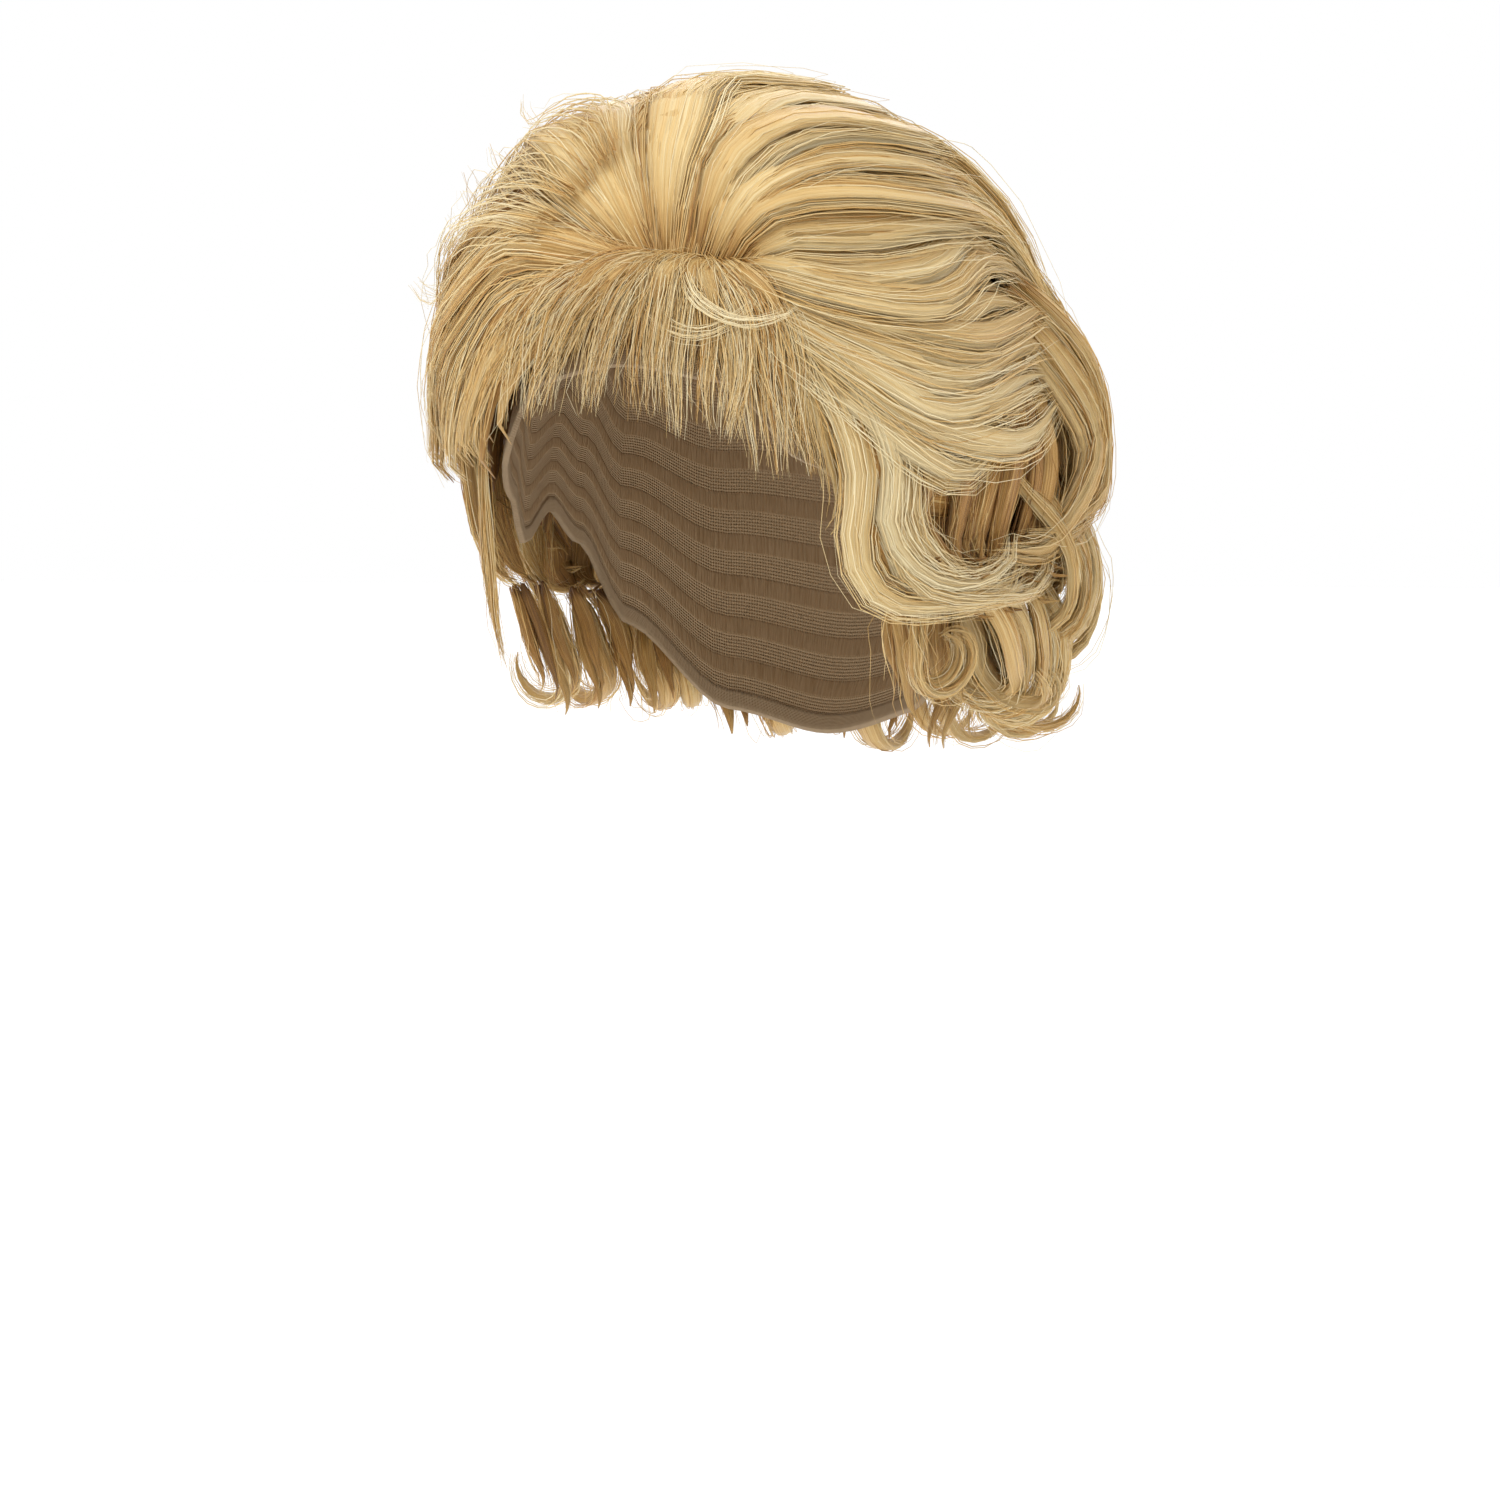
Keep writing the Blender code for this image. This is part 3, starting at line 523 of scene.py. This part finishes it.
fringeHair = {
    "strandWidth": 0.36,
    "fans": [
        fan(13, [(5, 50, 0.28), (-12, 38, 0.70), (-19, 27, 0.66), (-25, 17, 0.45)],
            [(11, 51, 0.28), (8, 38, 0.74), (6, 27, 0.70), (2, 17, 0.48)],
            width=13, thick=5, strands=30, steps=12, body=0, tipShare=0.5, fray=0.5, frizz=3.5, swing=5, tone=0.66,
            toneSpread=0.7),
        fan(18, [(9, 51, 0.28), (12, 38, 0.74), (12, 27, 0.70), (10, 17, 0.48)],
            [(30, 48, 0.38), (41, 34, 0.72), (47, 21, 0.62), (49, 5, 0.42)],
            width=12, thick=6, strands=36, steps=12, body=0, tipShare=0.4, fray=0.45, frizz=3, swing=4, tone=0.66,
            toneSpread=0.7),
        fan(15, [(5, 50.5, 0.26), (-8, 43, 0.64), (-14, 36, 0.70), (-18, 31, 0.68)],
            [(29, 49, 0.32), (35, 42, 0.66), (41, 36, 0.72), (44, 30, 0.70)],
            width=14, thick=6, strands=34, steps=10, body=0.7, tipShare=0.3, fray=0.3, tone=0.54),
        fan(2, [(10, 42, 0.72), (13, 34, 0.84), (20, 31, 0.88), (27, 34, 0.90), (28, 39, 0.80)],
            [(16, 47, 0.48), (20, 36, 0.82), (28, 32, 0.86), (37, 34, 0.90), (39, 38, 0.88)],
            width=6, thick=3, strands=14, steps=14, body=0, tone=0.92, wave=0.5, loose=2),
    ],
}
dress("fringeHair", "fringe", hairMaterial("blondeFringe"), fringeHair, 5)

leftSideHair = {"strandWidth": 0.46}
leftSweep = fan(
    13, [(29, 48, 0.40), (38, 43, 0.76), (54, 40, 0.95), (71, 42, 1.02), (92, 47, 1.06), (112, 43, 1.05),
         (130, 34, 1.02)],
    [(31, 46, 0.42), (44, 31, 0.72), (55, 21, 0.88), (67, 13, 0.98), (80, 11, 1.07), (98, 18, 1.10),
     (114, 20, 1.06)],
    width=20, thick=5.5, strands=44, steps=15, tone=0.70, endSpread=0.28, wave=1.8, waveLength=90, rings=24)
leftFlip = fan(
    6, [(30, 46, 0.42), (42, 32, 0.68), (51, 20, 0.78), (54, 9, 0.82), (53, -1, 0.85), (56, -9, 0.90),
        (64, -13, 0.97), (78, -14, 1.06), (92, -11, 1.16), (97, -2, 1.16)],
    [(33, 46, 0.50), (46, 33, 0.74), (56, 20, 0.82), (60, 10, 0.84), (58, 2, 0.85), (62, -4, 0.90),
     (70, -8, 0.97), (80, -8, 1.03), (86, -4, 1.08), (85, 2, 1.06)],
    width=14, thick=7, strands=46, steps=20, rings=22, tone=0.76, frizz=2.5, wave=0.8, endSpread=0.1)
leftFace = fan(
    6, [(29, 47, 0.36), (39, 33, 0.60), (47, 23, 0.58), (52, 14, 0.52), (54, 5, 0.48), (51, -2, 0.42)],
    [(31, 46, 0.42), (43, 32, 0.68), (53, 22, 0.75), (59, 14, 0.78), (61, 5, 0.78), (62, -4, 0.72)],
    width=12, thick=5, strands=34, steps=14, tone=0.62, tipShare=0.5, fray=0.45, frizz=3, swing=4, loose=5)
# the fill locks under the sweep have a low tone, as painted shade under the sweep
leftFill = fan(
    11, [(60, 28, 0.60), (64, 14, 0.64), (64, 2, 0.62), (62, -8, 0.56)],
    [(110, 30, 0.84), (108, 14, 0.90), (106, 0, 0.90), (103, -13, 0.84)],
    width=17, thick=8, strands=14, steps=14, tone=0.30, wave=3, curl=12, turn=120, endSpread=0.25)
# the under layers of the flip and the fill are darker still, as painted shade
leftSideHair["fans"] = [leftSweep, leftFlip, leftFace, leftFill, underLayer(leftSweep), coreLayer(leftSweep),
                        underLayer(leftFlip, 0.88, tone=0.30), underLayer(leftFill, 0.7, tone=0.14)]
dress("leftSideHair", "left_side_hair", hairMaterial("blondeLeftSide"), leftSideHair, 7)

rightSideHair = {"strandWidth": 0.46}
rightFront = fan(
    12, [(6, 49, 0.28), (-11, 41, 0.60), (-21, 30, 0.62), (-28, 20, 0.56), (-31, 11, 0.45)],
    [(7, 50, 0.28), (-30, 51, 0.82), (-54, 42, 0.93), (-66, 28, 0.93), (-69, 12, 0.82)],
    width=22, thick=5.5, strands=40, curl=9, turn=80, lean=180, steps=15, tone=0.58)
rightRear = fan(
    11, [(-30, 54, 0.78), (-58, 47, 0.93), (-74, 34, 0.95), (-80, 20, 0.88), (-80, 7, 0.72)],
    [(-70, 56, 0.88), (-94, 44, 0.98), (-110, 30, 0.99), (-116, 14, 0.95), (-116, -6, 0.82)],
    width=25, thick=6, strands=38, curl=13, turn=90, lean=180, steps=15, tone=0.58, endSpread=0.2, wave=2.6)
# the locks under the rear ones have a lower tone, as painted shade under them
rightUnder = fan(
    9, [(-56, 22, 0.50), (-64, 8, 0.42), (-69, -2, 0.34), (-72, -9, 0.28)],
    [(-106, 20, 0.66), (-107, 6, 0.60), (-107, -6, 0.52), (-106, -15, 0.46)],
    width=18, thick=5, strands=28, curl=11, turn=70, lean=180, tone=0.42, endSpread=0.2)
rightSideburn = fan(
    3, [(-46, 16, 0.22), (-47, 4, 0.16), (-49, -12, 0.12), (-49, -32, 0.16)],
    [(-48, 16, 0.24), (-49, 4, 0.20), (-51, -10, 0.16), (-51, -26, 0.16)],
    width=5, thick=3, strands=18, body=0.4, tone=0.5, wave=1)
rightSideHair["fans"] = [rightFront, rightRear, rightUnder, rightSideburn, coreLayer(rightRear),
                         underLayer(rightFront, 0.84), underLayer(rightRear)]
dress("rightSideHair", "right_side_hair", hairMaterial("blondeRightSide"), rightSideHair, 9)

backHair = {"strandWidth": 0.48}
backOver = fan(
    22, [(108, 54, 0.78), (114, 38, 0.96), (119, 21, 1.03), (122, 7, 1.00), (123, -4, 0.92)],
    [(250, 50, 0.78), (249, 34, 0.94), (248, 18, 0.99), (247, 4, 0.96), (246, -6, 0.88)],
    width=27, thick=6, strands=28, steps=15, curl=15, turn=110, lean=180, endSpread=0.30, wave=2.8,
    waveLength=85, rings=22, tone=0.62)
backSwing = fan(
    7, [(106, 42, 0.98), (114, 31, 1.22), (119, 18, 1.34), (114, 6, 1.30), (102, 0, 1.18), (84, -2, 1.06)],
    [(100, 34, 0.98), (110, 22, 1.16), (114, 12, 1.26), (109, 2, 1.20), (97, -5, 1.08), (82, -7, 0.98)],
    width=13, thick=7, strands=34, steps=16, tone=0.56)
backLoops = fan(
    9, [(92, 12, 0.84), (98, 4, 1.04), (104, -3, 1.20), (108, -10, 1.24)],
    [(130, 8, 0.84), (132, 0, 1.02), (133, -8, 1.14), (133, -16, 1.14)],
    width=11, thick=5, strands=28, steps=19, rings=22, curl=15, turn=230, lean=180, drift=9, tone=0.64)
# the tucked locks under the back locks have a lower tone, as painted shade under them
backTuck = fan(
    14, [(114, 12, 0.84), (117, 2, 0.90), (119, -9, 0.90)],
    [(250, 8, 0.80), (249, 0, 0.84), (247, -11, 0.82)],
    width=20, thick=6, strands=16, steps=16, curl=9, turn=150, lean=180, drift=6, tone=0.52, endSpread=0.2)
# the under layer of the tucked locks is darker still, as painted shade
backHair["fans"] = [backOver, backSwing, backLoops, backTuck, underLayer(backOver),
                    underLayer(backTuck, tone=0.30), coreLayer(backOver)]
dress("backHair", "back_hair", hairMaterial("blondeBack"), backHair, 11)

napeHair = {"strandWidth": 0.44}
earCurl = fan(
    3, [(70, -13, 0.58), (68, -19, 0.64), (67, -25, 0.64)],
    [(73, -14, 0.50), (71, -20, 0.56), (70, -26, 0.56)],
    width=7, thick=4, strands=30, steps=22, rings=26, curl=12, turn=300, lean=-90, tone=0.58, wave=0)
napeLoops = fan(
    9, [(78, -8, 0.74), (84, -15, 0.94), (90, -21, 1.02), (96, -26, 1.02)],
    [(124, -10, 0.80), (126, -17, 0.98), (127, -24, 1.04), (127, -30, 1.00)],
    width=11, thick=5, strands=26, steps=19, rings=22, curl=13, turn=220, lean=180, drift=8, tone=0.6)
napeRinglets = fan(
    14, [(88, -14, 0.46), (94, -21, 0.50), (99, -28, 0.50)],
    [(262, -14, 0.36), (256, -21, 0.36), (251, -28, 0.34)],
    width=14, thick=6, strands=20, steps=18, rings=20, curl=15, turn=230, drift=6, tone=0.56, endSpread=0.2)
# the nape ends under the loops and ringlets have a low tone, as painted shade under them
napeEnds = fan(
    18, [(68, -14, 0.36), (72, -26, 0.36), (80, -39, 0.40)],
    [(278, -14, 0.26), (274, -26, 0.24), (268, -38, 0.28)],
    width=13, thick=5, strands=22, steps=12, tone=0.40, tipShare=0.7, fray=0.45, frizz=3, endSpread=0.25, curl=14, turn=50)
# the under layer of the nape ends is darker still, as painted shade
napeHair["fans"] = [earCurl, napeLoops, napeRinglets, napeEnds,
                    underLayer(napeEnds, 0.7, tone=0.26, width=13, body=0.7)]
dress("napeHair", "nape_hair", hairMaterial("blondeNape"), napeHair, 13)

# the cap: a net wall with rows of weft inside it and a tape round its rim; angles in degrees
capStyle = {
    "rim": [(0, 34), (25, 31), (45, 15), (62, 8), (72, -4), (88, 5), (104, -4), (122, -24), (150, -41), (180, -46)],
    "wall": 0.0014,
    "around": 96,
    "down": 70,
    "wefts": 14,
    "weftRise": 0.0005,
    "tapeHeight": 4.2,
    "tapeRise": 0.0005,
    "netAround": 300,
    "netDown": 90,
    # the cap's own colours, kept dark brown so that where the cap shows between the locks it passes for painted
    # shade
    "weftBrown": (0.20, 0.115, 0.045, 1),
    "netBeige": (0.36, 0.245, 0.135, 1),
    "tapeBeige": (0.40, 0.28, 0.16, 1),
}


def rimElevation(azimuth):
    azimuth = abs((azimuth + 180) % 360 - 180)
    for (one, low), (two, high) in zip(capStyle["rim"], capStyle["rim"][1:]):
        if azimuth <= two:
            share = (azimuth - one) / (two - one)
            return low + (high - low) * share * share * (3 - 2 * share)


def capPoint(azimuth, elevation, out):
    way = towards(azimuth, elevation)
    return eyeLevel + way * (headRadius(way) + out)


# a skin round the head: sections are points for each azimuth, closed round the head
def roundTheHead(name, sections, closed, material):
    around = capStyle["around"]
    shares = [share for _, share in sections(0)]
    count = len(shares)
    verts = [spot for k in range(around) for spot, _ in sections(360 * k / around)]
    mesh = bpy.data.meshes.new(name)
    faces, maps = [], []
    for k in range(around):
        for i in range(count if closed else count - 1):
            after = (i + 1) % count
            one, two = k * count, (k + 1) % around * count
            faces.append((one + i, one + after, two + after, two + i))
            low, high = shares[i], shares[after] if after else 1
            maps += [(k / around, low), (k / around, high), ((k + 1) / around, high), ((k + 1) / around, low)]
    mesh.from_pydata(verts, [], faces)
    mesh.uv_layers.new(name="OFBake").data.foreach_set("uv", [value for pair in maps for value in pair])
    shell = bmesh.new()
    shell.from_mesh(mesh)
    bmesh.ops.remove_doubles(shell, verts=shell.verts, dist=0.00001)
    bmesh.ops.dissolve_degenerate(shell, edges=shell.edges, dist=0.00001)
    if shell.calc_volume(signed=True) < 0:
        bmesh.ops.reverse_faces(shell, faces=shell.faces)
    shell.to_mesh(mesh)
    shell.free()
    mesh.shade_smooth()
    mesh.materials.append(material)
    piece = bpy.data.objects.new(name, mesh)
    bpy.context.scene.collection.objects.link(piece)
    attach(piece, "root")
    return piece


def netSections(azimuth):
    down = capStyle["down"]
    rim = rimElevation(azimuth)
    rows = []
    for i in range(down + 1):
        share = i / down
        rise = capStyle["weftRise"] * max(0, cos(2 * pi * capStyle["wefts"] * share)) * min(1, share * 6)
        rows.append((capPoint(azimuth, 90 - share * (90 - rim), -rise), share))
    for i in range(0, down + 1, 5):
        share = 1 - i / down
        rows.append((capPoint(azimuth, 90 - share * (90 - rim), capStyle["wall"]), share))
    return rows


def tapeSections(azimuth):
    rim = rimElevation(azimuth)
    middle, half = capStyle["wall"] / 2, capStyle["wall"] / 2 + capStyle["tapeRise"]
    rows = []
    for i in range(16):
        angle = 2 * pi * i / 16
        high = max(-1, min(1, 1.35 * sin(angle)))
        wide = max(-1, min(1, 1.6 * cos(angle)))
        spot = capPoint(azimuth, rim + capStyle["tapeHeight"] * (0.5 + 0.5 * high) - 0.5, middle - half * wide)
        rows.append((spot, i / 16))
    return rows


def capMaterial(name, tape):
    material, tree, shader = newMaterial(name)
    flat = tree.add("ShaderNodeUVMap", {"uv_map": "OFBake"})
    u = tree.add("ShaderNodeSeparateXYZ", None, flat, out="X")
    v = tree.add("ShaderNodeSeparateXYZ", None, flat, out="Y")

    def waves(place):
        return tree.add("ShaderNodeMath", {"operation": "SINE"}, place * (2 * pi))

    if tape:
        weave = waves(u * 420 + v * 24) * waves(u * 420 - v * 24)
        stitch = tree.add("ShaderNodeMath", {"operation": "PINGPONG"}, u * 240, 1.0)
        mask = stitch * 0.35 + weave * 0.2 + 0.4
        first, second = capStyle["tapeBeige"], capStyle["netBeige"]
    else:
        netting = waves(u * capStyle["netAround"] + v * capStyle["netDown"])
        netting = netting * waves(u * capStyle["netAround"] - v * capStyle["netDown"])
        weft = tree.add("ShaderNodeMath", {"operation": "COSINE"}, v * (2 * pi * capStyle["wefts"]))
        streak = tree.add("ShaderNodeCombineXYZ", None, u * 700, v * 20, 0.0)
        streak = tree.add("ShaderNodeTexNoise", None, streak, Scale=1.0, Detail=2.0)
        weft = tree.add("ShaderNodeMapRange", {"interpolation_type": "SMOOTHSTEP"}, weft, -0.1, 0.5, 0.0, 1.0)
        mask = netting * 0.25 * (1 - weft) + weft * (0.55 + (streak - 0.5) * 1.2) + 0.12
        weave = netting * (1 - weft) + streak * weft * 2
        first, second = capStyle["netBeige"], capStyle["weftBrown"]
    mask = tree.add("ShaderNodeClamp", None, mask)
    colour = tree.add("ShaderNodeMix", {"data_type": "RGBA"}, mask, first, second)
    bump = tree.add("ShaderNodeBump", None, Strength=0.7, Distance=0.0004, Height=weave)
    material.node_tree.links.new(colour.socket, shader.inputs["Base Color"])
    material.node_tree.links.new(bump.socket, shader.inputs["Normal"])
    shader.inputs["Roughness"].default_value = 0.8
    return material


capNet = roundTheHead("capNet", netSections, False, capMaterial("capNetting", False))
capTape = roundTheHead("capTape", tapeSections, True, capMaterial("capBinding", True))
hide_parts("cap")
print("cap sewn with", len(capNet.data.polygons) + len(capTape.data.polygons), "faces")

# floor, lights and camera
studio = {
    "azimuth": 28,
    "elevation": 1.9,
    "distance": 2.5,
    "pixelsPerMetre": 2700,
    "aimX": 735,
    "aimY": 527,
    "floorDrop": 0.42,
}


def setStudio():
    scene = bpy.context.scene
    back = towards(studio["azimuth"], studio["elevation"])
    right = Vector((cos(radians(studio["azimuth"])), sin(radians(studio["azimuth"])), 0))
    up = back.cross(right)
    target = (eyeLevel + right * ((750 - studio["aimX"]) / studio["pixelsPerMetre"])
              + up * ((studio["aimY"] - 750) / studio["pixelsPerMetre"]))
    eye = bpy.data.cameras.new("studioCamera")
    eye.sensor_width = 36
    eye.lens = 36 * studio["pixelsPerMetre"] * studio["distance"] / 1500
    camera = bpy.data.objects.new("studioCamera", eye)
    camera.location = target + back * studio["distance"]
    camera.rotation_euler = back.to_track_quat("Z", "Y").to_euler()
    scene.collection.objects.link(camera)
    scene.camera = camera

    world = bpy.data.worlds.new("studioAir")
    scene.world = world
    world.use_nodes = True
    air = world.node_tree.nodes["Background"]
    air.inputs["Color"].default_value = (1.0, 1.0, 1.0, 1)
    air.inputs["Strength"].default_value = 1.0
    for name, azimuth, elevation, far, size, power in (
            ("keyLight", -15, 40, 1.6, 0.8, 8),
            ("fillLight", 80, 20, 1.8, 1.2, 3),
            ("topLight", 60, 80, 1.5, 0.9, 4),
            ("rimLight", 200, 35, 1.7, 0.9, 6)):
        lamp = bpy.data.lights.new(name, "AREA")
        lamp.size = size
        lamp.energy = power
        light = bpy.data.objects.new(name, lamp)
        way = towards(azimuth, elevation)
        light.location = eyeLevel + way * far
        light.rotation_euler = way.to_track_quat("Z", "Y").to_euler()
        scene.collection.objects.link(light)
    scene.view_settings.view_transform = "Standard"

    mesh = bpy.data.meshes.new("paleFloor")
    low = eyeLevel.z - studio["floorDrop"]
    mesh.from_pydata([(-40, -40, low), (40, -40, low), (40, 40, low), (-40, 40, low)], [], [(0, 1, 2, 3)])
    floor = bpy.data.objects.new("paleFloor", mesh)
    scene.collection.objects.link(floor)
    material, tree, shader = newMaterial("palePaint")
    shader.inputs["Base Color"].default_value = (0.92, 0.92, 0.92, 1)
    shader.inputs["Roughness"].default_value = 0.9
    shader.inputs["Emission Color"].default_value = (1, 1, 1, 1)
    shader.inputs["Emission Strength"].default_value = 0.2
    mesh.materials.append(material)


setStudio()
print("studio set")
